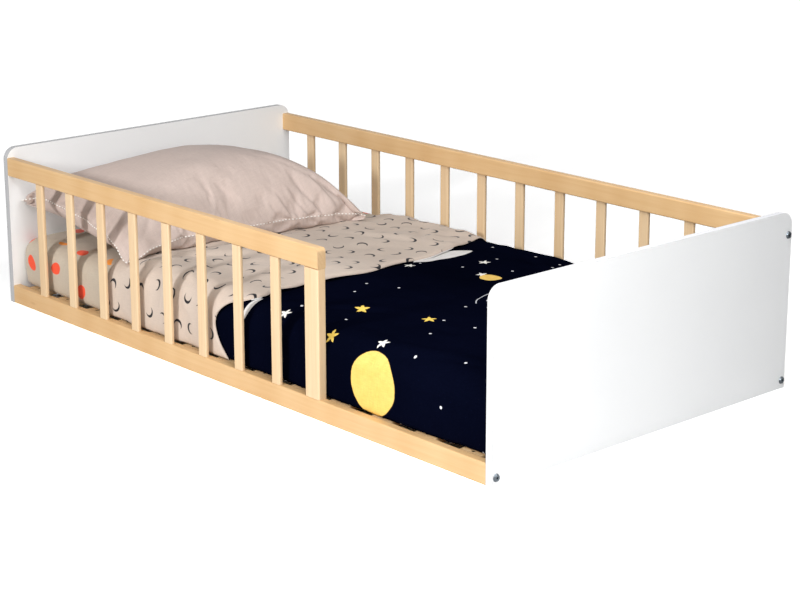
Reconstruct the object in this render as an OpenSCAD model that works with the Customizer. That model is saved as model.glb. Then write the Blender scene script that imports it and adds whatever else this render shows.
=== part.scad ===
// Low floor bed for a small child: two white end panels, solid wood side rails with upright
// bars, a slatted base, a mattress with a fitted sheet, a duvet and a pillow.
// Millimetres. X runs from the head end to the foot end, Y from the open front to the rear
// side, Z up from the floor. The origin is on the floor in the middle of the bed.

/* [Shown part] */
// Node to draw, or all

/* [Mattress] */
// Length of the mattress with its sheet
mattress_length = 1400; // [1280:1:1600]
// Width of the mattress with its sheet
mattress_width = 698; // [650:1:850]
// Height of the mattress with its sheet
mattress_height = 105; // [80:1:130]
// Rounding of the mattress corners seen from above
mattress_corner_radius = 40; // [20:1:80]

/* [End panels] */
// Height of the end panels
panel_height = 330; // [320:1:420]
// Thickness of the end panels
panel_thickness = 15; // [12:0.5:22]
// Rounding of the upper corners of the end panels
panel_corner_radius = 25; // [5:1:40]

/* [Rails and posts] */
// Thickness of every rail
rail_thickness = 18; // [16:0.5:24]
// Height of every rail
rail_height = 38; // [34:1:50]
// How far the tops of the upper rails lie below the tops of the end panels
rail_drop = 20; // [12:1:60]
// Rounding along the edges of rails and posts
rail_edge_radius = 3; // [1:0.5:5]
// Distance from the head end to the free end of the front guard
guard_end = 1014; // [940:1:1100]
// Width of the post at the free end of the front guard
post_width = 38; // [24:1:50]
// Rounding of the free upper corner of the front guard
guard_corner_radius = 9; // [4:1:16]

/* [Bars] */
// Width of a bar
bar_width = 24; // [16:1:32]
// Thickness of a bar
bar_thickness = 8; // [7:0.5:12]
// Distance from the head end to the middle of the first bar of the front guard
front_bar_start = 129; // [110:1:140]
// Distance from the head end to the middle of the first bar of the rear guard
rear_bar_start = 101; // [90:1:120]

/* [Slatted base] */
// Number of slats
slat_count = 13; // [8:1:16]
// Width of a slat
slat_width = 50; // [40:1:70]
// Thickness of a slat
slat_thickness = 12; // [9:1:18]

/* [Duvet and pillow] */
// Distance from the head end to the edge of the duvet nearest the pillow
duvet_start = 337; // [300:1:400]
// Thickness of the duvet where it lies single
duvet_thickness = 17; // [10:0.5:24]
// Length of the turned-down part of the duvet
duvet_turndown = 428; // [300:1:500]
// Length of the pillow along the bed
pillow_length = 372; // [300:1:420]
// Width of the pillow across the bed
pillow_width = 579; // [500:1:660]
// Height of the upper half of the pillow over its seam
pillow_crown = 118; // [60:1:130]

/* [Hidden] */
// number of bars in each guard
front_bars = 8;
rear_bars = 12;

// small distances: play in a bore, gap under a soft piece, overrun of a cut
fit = 0.1;
seat_gap = 0.3;
over = 1;

// places of the frame, worked out from the mattress that has to fit in it
mattress_end_room = 10;
mattress_side_room = 6;
bed_length = mattress_length + mattress_end_room + 2 * panel_thickness;
bed_width = mattress_width + 2 * (mattress_side_room + rail_thickness);
head_face = -bed_length / 2;
foot_face = bed_length / 2;
inner_head = head_face + panel_thickness;
inner_foot = foot_face - panel_thickness;
inner_length = inner_foot - inner_head;
front_face = -bed_width / 2;
rear_face = bed_width / 2;
inner_front = front_face + rail_thickness;
inner_rear = rear_face - rail_thickness;
guard_face = head_face + guard_end;
post_start = guard_face - post_width;
rail_top = panel_height - rail_drop;
upper_rail_low = rail_top - rail_height;
bar_length = upper_rail_low - rail_height - 2 * fit;
bar_inset = 1;
bar_edge_radius = 3;

// connector bolts, each with a barrel nut across the rail and a dowel above it
bolt_diameter = 6;
bolt_hole = 6.6;
bolt_length = 50;
bolt_head_diameter = 14;
bolt_head_height = 2.6;
bolt_head_slope = 1.5;
bolt_socket_size = 4;
bolt_socket_depth = 1.8;
bolt_drop = 3;
nut_diameter = 10;
nut_length = 13;
nut_inset = 36;
dowel_diameter = 8;
dowel_length = 30;
dowel_in_panel = 9;
dowel_rise = 11;
bolt_line = bed_width / 2 - rail_thickness / 2;
lower_bolt_height = rail_height / 2 - bolt_drop;
upper_bolt_height = upper_rail_low + rail_height / 2 - bolt_drop;

// One place for each bolt: end (-1 head, 1 foot), line across the bed, height. The front
// guard stops short of the footboard, so that corner has no upper bolt.
bolt_places = [
    for (end = [-1, 1], side = [-1, 1], height = [lower_bolt_height, upper_bolt_height])
        if (end < 0 || side > 0 || height == lower_bolt_height)
            [end, side * bolt_line, height]
];

// bars, spread between the first bar and the post or the foot end
front_last_gap = 84;
rear_last_gap = 118;
front_bar_span = guard_end - post_width - front_last_gap - front_bar_start;
rear_bar_span = bed_length - rear_last_gap - rear_bar_start;
front_bar_pitch = front_bar_span / (front_bars - 1);
rear_bar_pitch = rear_bar_span / (rear_bars - 1);
front_bar_line = front_face + bar_inset + bar_thickness / 2;
rear_bar_line = rear_face - bar_inset - bar_thickness / 2;

// pins that hold the bars and the post in the rails
pin_diameter = 4;
pin_length = 24;
post_pin_inset = 10;
post_pin_x = [post_start + post_pin_inset, guard_face - post_pin_inset];

// slatted base
cleat_size = 18;
cleat_end_gap = 1;
slat_end_gap = 1;
slat_top = rail_height - 1;
cleat_top = slat_top - slat_thickness;
slat_length = inner_rear - inner_front - 2 * slat_end_gap;
slat_end_margin = 30;
slat_pitch = (inner_length - 2 * slat_end_margin - slat_width) / (slat_count - 1);
slat_edge_radius = 2;
screw_diameter = 3.5;
screw_head_diameter = 7;
screw_head_height = 2.4;
screw_sink = 0.5;
slat_screw_length = slat_thickness + 14;
cleat_screw_length = cleat_size + 12;

// mattress and its sheet
sheet_thickness = 1.6;
sheet_hem = 90;
mattress_low = slat_top + seat_gap;
mattress_top = mattress_low + mattress_height;
mattress_edge_radius = 22;
mattress_head = inner_head + 2;
mattress_foot = mattress_head + mattress_length;

// duvet: doubled from its head edge to the hem of the turned-down part
duvet_head = head_face + duvet_start;
duvet_foot = inner_foot - 1.5;
duvet_half = inner_rear - 0.5;
duvet_inner_half = mattress_width / 2 + 0.4;
duvet_hem_height = rail_height + 1;
duvet_low = mattress_top + seat_gap;
duvet_doubled = 1.35 * duvet_thickness;
duvet_slant = 96;
duvet_round = 26;
duvet_hem_step = 20;
turn_end = duvet_head + duvet_turndown;
fold_depth = 1.1;
fold_pitch = 210;

// pillow: lies a little askew and leans with its head edge up, flattened where it rests
pillow_end_gap = 11;
pillow_side_gap = 6;
pillow_slant = 60;
pillow_x = inner_head + pillow_end_gap + (pillow_length + pillow_slant) / 2;
pillow_y = inner_front + pillow_side_gap + pillow_width / 2;
pillow_seam_height = mattress_top + 57.7;
pillow_slope = 0.2;
pillow_foot_arch = 26;
pillow_side_arch = 12;
pillow_under = 62;
pillow_cells = 24;
pillow_draw = 0.06;
pillow_side_draw = 0.03;
pillow_fullness = 0.52;
pillow_lean = 0.32;
pillow_seam_half = 2;
pillow_least = 3;

wood = [0.90, 0.76, 0.56];
wood_edge = [0.86, 0.70, 0.49];
panel_white = [0.95, 0.95, 0.95];
steel = [0.55, 0.59, 0.64];
foam = [0.93, 0.92, 0.88];
sheet_colour = [0.74, 0.70, 0.64];
duvet_colour = [0.05, 0.06, 0.14];
pillow_colour = [0.79, 0.73, 0.70];

// Rectangle with rounded corners made of plain squares and true circles.
module rounded_rectangle(size_x, size_y, radius) {
    translate([radius, 0])
        square([size_x - 2 * radius, size_y]);
    translate([0, radius])
        square([size_x, size_y - 2 * radius]);
    for (x = [radius, size_x - radius], y = [radius, size_y - radius])
        translate([x, y])
            circle(r = radius, $fn = 32);
}

// Length of wood along X with rounded edges, from x0 to x1.
module rail_blank(x0, x1, y0, z0) {
    translate([x0, y0, z0])
        rotate([90, 0, 90])
            linear_extrude(x1 - x0)
                rounded_rectangle(rail_thickness, rail_height, rail_edge_radius);
}

// Cylinder along X that starts at x and runs length to the right.
module rod_x(x, y, z, diameter, length) {
    translate([x, y, z])
        rotate([0, 90, 0])
            cylinder(d = diameter, h = length, $fn = 32);
}

// Cylinder along Y that starts at y.
module rod_y(x, y, z, diameter, length) {
    translate([x, y, z])
        rotate([-90, 0, 0])
            cylinder(d = diameter, h = length, $fn = 32);
}

// Everything a bolt, its nut and its dowel need removed from panel and rail.
module bolt_bores(place) {
    face = place[0] * bed_length / 2;
    deep = bolt_length + 4;
    low = place[0] < 0 ? face - over : face - deep;
    rod_x(low, place[1], place[2], bolt_hole, deep + over);
    rod_y(face - place[0] * nut_inset, place[1] - nut_length / 2 - fit, place[2],
          nut_diameter + 2 * fit, nut_length + 2 * fit);
    rail_dowel(place, fit);
}

// Dowel that starts inside the panel and runs into the rail, larger all round by play.
module rail_dowel(place, play) {
    outer = place[0] * (bed_length / 2 - panel_thickness + dowel_in_panel);
    low = place[0] < 0 ? outer : outer - dowel_length;
    rod_x(low - play, place[1], place[2] + dowel_rise,
          dowel_diameter + 2 * play, dowel_length + 2 * play);
}

module all_bolt_bores() {
    for (place = bolt_places)
        bolt_bores(place);
}

function front_bar_x(i) = head_face + front_bar_start + (i - 1) * front_bar_pitch;
function rear_bar_x(i) = head_face + rear_bar_start + (i - 1) * rear_bar_pitch;

// Upright pin, half of it above and half below the rail face at height z.
module bar_pin(x, y, z, play) {
    translate([x, y, z - pin_length / 2 - play])
        cylinder(d = pin_diameter + 2 * play, h = pin_length + 2 * play, $fn = 24);
}

module front_pins(z, play) {
    for (i = [1:front_bars])
        bar_pin(front_bar_x(i), front_bar_line, z, play);
    for (x = post_pin_x)
        bar_pin(x, -bolt_line, z, play);
}

module rear_pins(z, play) {
    for (i = [1:rear_bars])
        bar_pin(rear_bar_x(i), rear_bar_line, z, play);
}

// End panel with two rounded upper corners, its face at x0.
module end_panel(x0) {
    r = panel_corner_radius;
    color(panel_white)
        difference() {
            translate([x0, front_face, 0])
                rotate([90, 0, 90])
                    linear_extrude(panel_thickness) {
                        square([bed_width, panel_height - r]);
                        translate([r, 0])
                            square([bed_width - 2 * r, panel_height]);
                        for (y = [r, bed_width - r])
                            translate([y, panel_height - r])
                                circle(r = r, $fn = 48);
                    }
            all_bolt_bores();
        }
}

module headboard() {
    end_panel(head_face);
}

module footboard() {
    end_panel(inner_foot);
}

module front_lower_rail() {
    color(wood)
        difference() {
            rail_blank(inner_head, inner_foot, front_face, 0);
            all_bolt_bores();
            front_pins(rail_height, fit);
            cleat_screws(fit);
        }
}

module rear_lower_rail() {
    color(wood)
        difference() {
            rail_blank(inner_head, inner_foot, inner_rear, 0);
            all_bolt_bores();
            rear_pins(rail_height, fit);
            cleat_screws(fit);
        }
}

module rear_upper_rail() {
    color(wood)
        difference() {
            rail_blank(inner_head, inner_foot, inner_rear, upper_rail_low);
            all_bolt_bores();
            rear_pins(upper_rail_low, fit);
        }
}

// Face of the front guard's upper rail, drawn larger than the rail but for the rounding of
// its free upper corner.
module guard_rail_face() {
    r = guard_corner_radius;
    length = guard_face - inner_head;
    translate([inner_head - over, upper_rail_low - over]) {
        square([length + over, rail_height + over - r]);
        square([length + over - r, rail_height + 2 * over]);
    }
    translate([guard_face - r, rail_top - r])
        circle(r = r, $fn = 32);
}

module front_guard_rail() {
    color(wood)
        difference() {
            intersection() {
                rail_blank(inner_head, guard_face, front_face, upper_rail_low);
                translate([0, inner_front + over, 0])
                    rotate([90, 0, 0])
                        linear_extrude(rail_thickness + 2 * over)
                            guard_rail_face();
            }
            all_bolt_bores();
            front_pins(upper_rail_low, fit);
        }
}

module front_guard_post() {
    color(wood)
        difference() {
            translate([post_start, front_face, rail_height + fit])
                linear_extrude(bar_length)
                    rounded_rectangle(post_width, rail_thickness, rail_edge_radius);
            front_pins(rail_height, fit);
            front_pins(upper_rail_low, fit);
        }
}

// Upright bar with its middle at x on the line y.
module bar(x, y) {
    color(wood_edge)
        difference() {
            translate([x - bar_width / 2, y - bar_thickness / 2, rail_height + fit])
                linear_extrude(bar_length)
                    rounded_rectangle(bar_width, bar_thickness, bar_edge_radius);
            bar_pin(x, y, rail_height, fit);
            bar_pin(x, y, upper_rail_low, fit);
        }
}

// Strip under the slat ends, at the inner face of a lower rail.
module cleat(y0) {
    color(wood_edge)
        difference() {
            translate([inner_head + cleat_end_gap, y0, cleat_top - cleat_size])
                cube([inner_length - 2 * cleat_end_gap, cleat_size, cleat_size]);
            slat_screws(fit);
            cleat_screws(fit);
        }
}

function slat_x(i) = inner_head + slat_end_margin + slat_width / 2 + (i - 1) * slat_pitch;

module slat(i) {
    color(wood)
        difference() {
            translate([slat_x(i) - slat_width / 2, slat_length / 2, cleat_top + fit])
                rotate([90, 0, 0])
                    linear_extrude(slat_length)
                        rounded_rectangle(slat_width, slat_thickness - fit, slat_edge_radius);
            slat_screws(fit);
        }
}

// Countersunk screw along -Z with the top of its head at the origin.
module screw(length, play) {
    head = screw_head_diameter + 2 * play;
    shank = screw_diameter + 2 * play;
    translate([0, 0, -screw_head_height])
        cylinder(d1 = shank, d2 = head, h = screw_head_height, $fn = 24);
    translate([0, 0, -length - play])
        cylinder(d = shank, h = length + play, $fn = 24);
    if (play > 0)
        cylinder(d = head, h = over, $fn = 24);
}

module slat_screws(play) {
    for (i = [1:slat_count], side = [-1, 1])
        translate([slat_x(i), side * (inner_rear - cleat_size / 2), slat_top - screw_sink])
            screw(slat_screw_length, play);
}

// Screws through each cleat into the rail behind it, one in every second gap of the slats.
module cleat_screws(play) {
    for (i = [1:2:slat_count - 1], side = [-1, 1])
        translate([slat_x(i) + slat_pitch / 2,
                   side * (inner_rear - cleat_size + screw_sink),
                   cleat_top - cleat_size / 2])
            rotate([side * 90, 0, 0])
                screw(cleat_screw_length, play);
}

// Hexagon socket bolt with a low round head, its head outside the panel.
module panel_bolt(place) {
    translate([place[0] * bed_length / 2, place[1], place[2]])
        rotate([0, place[0] * 90, 0])
            difference() {
                union() {
                    translate([0, 0, -bolt_length])
                        cylinder(d = bolt_diameter, h = bolt_length + over, $fn = 32);
                    translate([0, 0, fit])
                        cylinder(d1 = bolt_head_diameter,
                                 d2 = bolt_head_diameter - 2 * bolt_head_slope,
                                 h = bolt_head_height, $fn = 32);
                }
                translate([0, 0, fit + bolt_head_height - bolt_socket_depth])
                    cylinder(d = bolt_socket_size / cos(30), h = bolt_socket_depth + over,
                             $fn = 6);
            }
}

module barrel_nut(place) {
    x = place[0] * (bed_length / 2 - nut_inset);
    difference() {
        rod_y(x, place[1] - nut_length / 2, place[2], nut_diameter, nut_length);
        rod_x(x - nut_diameter, place[1], place[2], bolt_diameter + 2 * fit,
              2 * nut_diameter);
    }
}

module bar_pins() {
    for (z = [rail_height, upper_rail_low]) {
        front_pins(z, 0);
        rear_pins(z, 0);
    }
}

// Mattress body smaller than its outside by skin on every side, rounded all round.
module mattress_body(skin) {
    length = mattress_length - 2 * skin;
    width = mattress_width - 2 * skin;
    height = mattress_height - 2 * skin;
    corner = mattress_corner_radius - skin;
    edge = mattress_edge_radius - skin;
    translate([mattress_head + skin, -width / 2, mattress_low + skin])
        intersection() {
            linear_extrude(height)
                rounded_rectangle(length, width, corner);
            rotate([90, 0, 90])
                linear_extrude(length)
                    rounded_rectangle(width, height, edge);
            translate([0, width, 0])
                rotate([90, 0, 0])
                    linear_extrude(width)
                        rounded_rectangle(length, height, edge);
        }
}

module mattress_core() {
    color(foam)
        mattress_body(sheet_thickness + fit);
}

// Sheet drawn over the mattress, open under it.
module fitted_sheet() {
    color(sheet_colour)
        difference() {
            mattress_body(0);
            mattress_body(sheet_thickness);
            translate([mattress_head + sheet_hem, sheet_hem - mattress_width / 2,
                       mattress_low - over])
                linear_extrude(sheet_thickness + 2 * over)
                    rounded_rectangle(mattress_length - 2 * sheet_hem,
                                      mattress_width - 2 * sheet_hem,
                                      mattress_corner_radius);
        }
}

// Closed surface over a grid of points: rows of equal length, first and last row closed by
// the strips that join the two halves of the row.
module skin_of_rows(rows) {
    count = len(rows[0]);
    last = len(rows) - 1;
    half = count / 2;
    points = [for (row = rows) each row];
    sides = [
        for (r = [0:last - 1], c = [0:count - 1])
            let (
                a = r * count + c,
                b = r * count + (c + 1) % count
            )
            each [[a, b, b + count], [a, b + count, a + count]]
    ];
    start_cap = [
        for (c = [0:half - 2])
            let (d = count - 1 - c)
            each [[c, d, c + 1], [c + 1, d, d - 1]]
    ];
    base = last * count;
    end_cap = [
        for (c = [0:half - 2])
            let (d = count - 1 - c)
            each [[base + c, base + c + 1, base + d], [base + c + 1, base + d - 1, base + d]]
    ];
    polyhedron(points = points, faces = concat(sides, start_cap, end_cap));
}

// Height of the duvet's upper side over its underside along the bed: thin at its head edge,
// doubled as far as the hem, single beyond it.
function duvet_loft(x) =
    let (
        across = min(1, max(0, (x - turn_end) / duvet_hem_step + 0.5)),
        smooth = across * across * (3 - 2 * across),
        start = min(1, (x - duvet_head) / 14)
    )
    (duvet_doubled + (duvet_thickness - duvet_doubled) * smooth)
        * (0.55 + 0.45 * sqrt(start));

// Shallow folds of the hanging sides, as a distance inwards.
function duvet_fold(x, side) =
    fold_depth * (1 - cos(360 * (x - duvet_head) / (fold_pitch + 35 * side)));

// Upper side of one half of a cross section, from the hem up to near the middle.
function duvet_outside(x, side) =
    let (
        top = duvet_low + duvet_loft(x),
        y = duvet_half - duvet_fold(x, side),
        r = duvet_round
    )
    [
        [x, side * (y - 1), duvet_hem_height],
        [x, side * y, duvet_hem_height + 4],
        [x, side * y, (duvet_hem_height + top - r) / 2],
        for (a = [0:22.5:67.5])
            [x, side * (y - r + r * cos(a)), top - r - 4 + r * sin(a)],
        [x, side * (y - r), top - 3.5],
        [x, side * (y - 3 * r), top - 1.5],
        [x, side * (y - 7 * r), top]
    ];

// The same number of points on the mattress side; past the foot end of the mattress they
// drop, so that the duvet hangs there too.
function duvet_inside(x, side) =
    let (
        y = duvet_inner_half,
        r = mattress_edge_radius - 3,
        low = duvet_hem_height,
        z = x > mattress_foot + 0.2 ? low + 14 : duvet_low
    )
    [
        [x, side * (y + 0.2), low],
        [x, side * y, low + 4],
        [x, side * y, max(low + 8, (low + z - r) / 2)],
        for (a = [0:22.5:67.5])
            [x, side * (y - r + r * cos(a)), max(low + 10, z - r + r * sin(a))],
        [x, side * (y - r), z],
        [x, side * (y - 2 * r), z],
        [x, side * (y - 8 * r), z]
    ];

// How far the duvet's head edge lies towards the foot at y: it runs a little askew.
function duvet_skew(y) = duvet_slant * min(1, max(0, (y - inner_front) / bed_width));

// A point moved by the skew of the head edge, which fades out as far as the hem.
function skewed(p) =
    let (fade = min(1, max(0, (turn_end - duvet_hem_step - p[0]) / duvet_turndown)))
    [p[0] + duvet_skew(p[1]) * fade, p[1], p[2]];

function reversed(list) = [for (i = [len(list) - 1:-1:0]) list[i]];

function duvet_row(x) = [
    for (p = concat(
        duvet_outside(x, -1), reversed(duvet_outside(x, 1)),
        duvet_inside(x, 1), reversed(duvet_inside(x, -1))
    )) skewed(p)
];

// Places along the bed from a to b, both left out.
function between(a, b, count) = [for (i = [1:count]) a + i * (b - a) / (count + 1)];

module duvet() {
    hem_start = turn_end - duvet_hem_step / 2;
    hem_stop = turn_end + duvet_hem_step / 2;
    stations = concat(
        [duvet_head, duvet_head + 5, duvet_head + 14],
        between(duvet_head + 14, hem_start, 8),
        [hem_start, turn_end, hem_stop],
        between(hem_stop, mattress_foot, 12),
        [mattress_foot + 0.15, mattress_foot + 0.35, duvet_foot]
    );
    color(duvet_colour)
        skin_of_rows([for (x = stations) duvet_row(x)]);
}

// Share of the pillow's full swell at u along and v across it, each from -1 to 1.
function pillow_swell(u, v) = pow(max(0, (1 - u * u) * (1 - v * v)), pillow_fullness);

// Lowest height the pillow may have at x, y: on the sheet, or up on the head end of the duvet.
function pillow_bed(x, y) =
    let (ramp = min(1, max(0, (x - duvet_head - duvet_skew(y) + 24) / 20)))
    mattress_top + seat_gap + (duvet_doubled + seat_gap) * ramp;

// Height of the seam: it falls towards the foot and arches up between the corners of the
// foot edge and of the front edge.
function pillow_seam(u, v) =
    pillow_seam_height - pillow_slope * pillow_length / 2 * u
        + pillow_foot_arch * (1 - pow(v, 4)) * pow(max(0, u), 2)
        + pillow_side_arch * (1 - pow(u, 4)) * pow(max(0, -v), 2);

function pillow_point(u, v, side) =
    let (
        x = pillow_x + pillow_length / 2 * u * (1 - pillow_draw * (1 - v * v)) + pillow_slant / 2 * v,
        y = pillow_y + pillow_width / 2 * v * (1 - pillow_side_draw * (1 - u * u)),
        swell = side > 0 ? pillow_crown * (1 + pillow_lean * u) : -pillow_under,
        z = pillow_seam(u, v) + side * pillow_seam_half + swell * pillow_swell(u, v),
        least = pillow_bed(x, y) + (side > 0 ? pillow_least : 0)
    )
    [x, y, max(z, least)];

// Steps from -1 to 1 that crowd towards both ends.
function crowded(i) = -cos(180 * i / pillow_cells);

function pillow_row(u) = concat(
    [for (j = [0:pillow_cells]) pillow_point(u, crowded(j), 1)],
    [for (j = [pillow_cells:-1:0]) pillow_point(u, crowded(j), -1)]
);

module pillow() {
    color(pillow_colour)
        skin_of_rows([for (i = [0:pillow_cells]) pillow_row(crowded(i))]);
}

headboard();
footboard();
front_lower_rail();
rear_lower_rail();
rear_upper_rail();
front_guard_rail();
front_guard_post();
for (i = [1:front_bars])
    bar(front_bar_x(i), front_bar_line);
for (i = [1:rear_bars])
    bar(rear_bar_x(i), rear_bar_line);
cleat(inner_front);  // front_cleat
cleat(inner_rear - cleat_size);  // rear_cleat
for (i = [1:slat_count])
    slat(i);
color(steel) for (place = bolt_places) panel_bolt(place);  // panel_bolts
color(steel) for (place = bolt_places) barrel_nut(place);  // barrel_nuts
color(wood_edge) for (place = bolt_places) rail_dowel(place, 0);  // rail_dowels
color(wood_edge) bar_pins();
color(steel) cleat_screws(0);
color(steel) slat_screws(0);
mattress_core();
fitted_sheet();
duvet();
pillow();
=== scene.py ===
import math

import bmesh
import bpy
import numpy as np
from mathutils import Matrix, Vector


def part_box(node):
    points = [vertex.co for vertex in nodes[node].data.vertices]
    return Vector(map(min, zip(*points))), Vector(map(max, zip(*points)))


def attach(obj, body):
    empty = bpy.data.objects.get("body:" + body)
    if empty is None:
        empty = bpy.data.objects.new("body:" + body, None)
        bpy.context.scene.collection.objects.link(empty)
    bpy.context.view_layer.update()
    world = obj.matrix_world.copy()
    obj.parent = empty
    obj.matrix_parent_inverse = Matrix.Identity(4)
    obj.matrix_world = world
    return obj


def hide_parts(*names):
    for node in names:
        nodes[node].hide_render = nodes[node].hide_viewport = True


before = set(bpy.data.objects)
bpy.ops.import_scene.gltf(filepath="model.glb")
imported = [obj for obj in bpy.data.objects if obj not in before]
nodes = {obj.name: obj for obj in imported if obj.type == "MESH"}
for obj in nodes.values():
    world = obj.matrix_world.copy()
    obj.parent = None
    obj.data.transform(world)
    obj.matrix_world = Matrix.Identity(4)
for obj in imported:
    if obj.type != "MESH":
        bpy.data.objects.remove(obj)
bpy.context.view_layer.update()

# Camera. It stands past the foot end and the open front, a little above the bed, with a long
# lens, and was fitted to the edges of the end panels and rails.
camera_place = Vector((2.8092, -2.4539, 1.1617))
camera_azimuth, camera_elevation, camera_roll = 48.533, 14.962, -0.2154


def camera_turn(azimuth, elevation, roll):
    """Rotation of a camera that looks back at the bed: its own axes are right, up and back,
    where back points from the bed to the camera and roll turns right towards up."""
    a, e, r = (math.radians(x) for x in (azimuth, elevation, roll))
    back = Vector((math.sin(a) * math.cos(e), -math.cos(a) * math.cos(e), math.sin(e)))
    level = Vector((math.cos(a), math.sin(a), 0))
    upright = back.cross(level)
    right = level * math.cos(r) + upright * math.sin(r)
    up = upright * math.cos(r) - level * math.sin(r)
    return Matrix((right, up, back)).transposed()


camera_data = bpy.data.cameras.new("camera")
camera_data.sensor_width = 36
camera_data.lens = 89.42
camera_data.shift_x = 0.025
camera_data.shift_y = -0.05
camera_data.clip_start = 0.1
camera = bpy.data.objects.new("camera", camera_data)
camera.matrix_world = Matrix.Translation(camera_place) @ camera_turn(
    camera_azimuth, camera_elevation, camera_roll
).to_4x4()
bpy.context.scene.collection.objects.link(camera)
bpy.context.scene.camera = camera
bpy.context.scene.view_settings.view_transform = "Standard"

# Room. A white floor without edges in view, a white world, a small lamp low in front that
# throws the shadows of the bars, a near one that lights the foot end, one high over the foot
# end that lights the head end, and a soft one high in front.


class Shade:
    """A node tree under construction: add puts in a node, feed links or sets the inputs of a
    node, bump ends a surface, and the other calls give the output of one new node."""

    def __init__(self, tree):
        self.tree = tree

    def feed(self, node, feeds):
        for name, value in feeds.items():
            if isinstance(value, bpy.types.NodeSocket):
                self.tree.links.new(value, node.inputs[name])
            else:
                node.inputs[name].default_value = value

    def add(self, kind, feeds=(), **settings):
        node = self.tree.nodes.new(kind)
        for name, value in settings.items():
            setattr(node, name, value)
        self.feed(node, dict(feeds))
        return node

    def use(self, tree, **feeds):
        return self.add("ShaderNodeGroup", feeds, node_tree=tree).outputs

    def calc(self, operation, *values):
        return self.add("ShaderNodeMath", dict(enumerate(values)), operation=operation).outputs[0]

    def plus(self, first, second):
        return self.calc("ADD", first, second)

    def minus(self, first, second):
        return self.calc("SUBTRACT", first, second)

    def times(self, first, second):
        return self.calc("MULTIPLY", first, second)

    def above(self, value, limit):
        return self.calc("GREATER_THAN", value, limit)

    def size_of(self, value):
        return self.calc("ABSOLUTE", value)

    def vector(self, operation, *values):
        feeds = dict(enumerate(values))
        return self.add("ShaderNodeVectorMath", feeds, operation=operation).outputs["Vector"]

    def scaled(self, vector, factor):
        feeds = {0: vector, "Scale": factor}
        return self.add("ShaderNodeVectorMath", feeds, operation="SCALE").outputs["Vector"]

    def length(self, vector):
        return self.add("ShaderNodeVectorMath", {0: vector}, operation="LENGTH").outputs["Value"]

    def place(self, kind):
        return self.add("ShaderNodeTexCoord").outputs[kind]

    def parts(self, vector):
        return self.add("ShaderNodeSeparateXYZ", {0: vector}).outputs

    def join(self, x, y, z):
        return self.add("ShaderNodeCombineXYZ", {0: x, 1: y, 2: z}).outputs[0]

    def noise(self, vector, scale, detail=2.0, rough=0.5):
        feeds = {"Vector": vector, "Scale": scale, "Detail": detail, "Roughness": rough}
        return self.add("ShaderNodeTexNoise", feeds).outputs["Fac"]

    def drawn_noise(self, vector, stretch, detail=2.0, rough=0.5):
        return self.noise(self.vector("MULTIPLY", vector, stretch), 1.0, detail, rough)

    def blend(self, factor, first, second):
        node = self.add("ShaderNodeMix", {0: factor, 6: first, 7: second}, data_type="RGBA")
        return node.outputs[2]

    def spread(self, value, low, high, to_low=0.0, to_high=1.0):
        feeds = {0: value, 1: low, 2: high, 3: to_low, 4: to_high}
        return self.add("ShaderNodeMapRange", feeds).outputs[0]

    def bump(self, shader, height, strength, distance):
        feeds = {"Height": height, "Strength": strength, "Distance": distance}
        self.feed(shader, {"Normal": self.add("ShaderNodeBump", feeds).outputs[0]})


def srgb(red, green, blue):
    """Linear colour from the 0 to 255 values that a screen shows."""
    shown = np.array([red, green, blue]) / 255
    linear = np.where(shown <= 0.04045, shown / 12.92, ((shown + 0.055) / 1.055) ** 2.4)
    return (*linear.tolist(), 1.0)


def material(name):
    """New material with one Principled shader: gives the material, its Shade and shader."""
    made = bpy.data.materials.new(name)
    made.use_nodes = True
    shader = made.node_tree.nodes["Principled BSDF"]
    return made, Shade(made.node_tree), shader


floor_dullness = 0.80
near_bed, far_off = 0.9, 4.5
seen_near, seen_far = 2.2, 6.5


def floor_material():
    """Dull white floor; seen directly its colour is scaled up to the white of the world, less
    so near the bed, where its soft shadow stays."""
    made, shade, shader = material("pale_floor")
    seen = shade.spread(shade.length(shade.place("Object")), near_bed, far_off, seen_near, seen_far)
    camera_ray = shade.add("ShaderNodeLightPath").outputs["Is Camera Ray"]
    more = shade.times(camera_ray, shade.minus(seen, floor_dullness))
    level = shade.plus(more, floor_dullness)
    dull = shade.add("ShaderNodeBsdfDiffuse", {"Color": shade.join(level, level, level)})
    made.node_tree.nodes.remove(shader)
    shade.feed(made.node_tree.nodes["Material Output"], {"Surface": dull.outputs[0]})
    return made


floor_half = 30.0
floor_mesh = bpy.data.meshes.new("floor")
floor_mesh.from_pydata(
    [(-floor_half, -floor_half, 0), (floor_half, -floor_half, 0),
     (floor_half, floor_half, 0), (-floor_half, floor_half, 0)],
    [], [(0, 1, 2, 3)],
)
floor_mesh.materials.append(floor_material())
floor = bpy.data.objects.new("floor", floor_mesh)
bpy.context.scene.collection.objects.link(floor)

world = bpy.data.worlds.new("white_room")
world.use_nodes = True
bpy.context.scene.world = world
world_light = 0.16
sky = Shade(world.node_tree)
path = sky.add("ShaderNodeLightPath").outputs
seen = sky.calc("MAXIMUM", path["Is Camera Ray"], path["Is Glossy Ray"])
seen = sky.calc("MAXIMUM", seen, path["Is Transmission Ray"])
sky.feed(world.node_tree.nodes["Background"], {
    "Color": (1, 1, 1, 1), "Strength": sky.spread(seen, 0.0, 1.0, world_light, 1.0),
})
lamp_aim = Vector((0, 0, 0.12))


def lamp(name, azimuth, elevation, distance, size, power):
    """Square area lamp that looks at the middle of the bed from azimuth and elevation."""
    data = bpy.data.lights.new(name, "AREA")
    data.size = size
    data.energy = power
    lit = bpy.data.objects.new(name, data)
    turn = camera_turn(azimuth, elevation, 0)
    lit.matrix_world = Matrix.Translation(lamp_aim + turn.col[2] * distance) @ turn.to_4x4()
    bpy.context.scene.collection.objects.link(lit)


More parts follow.
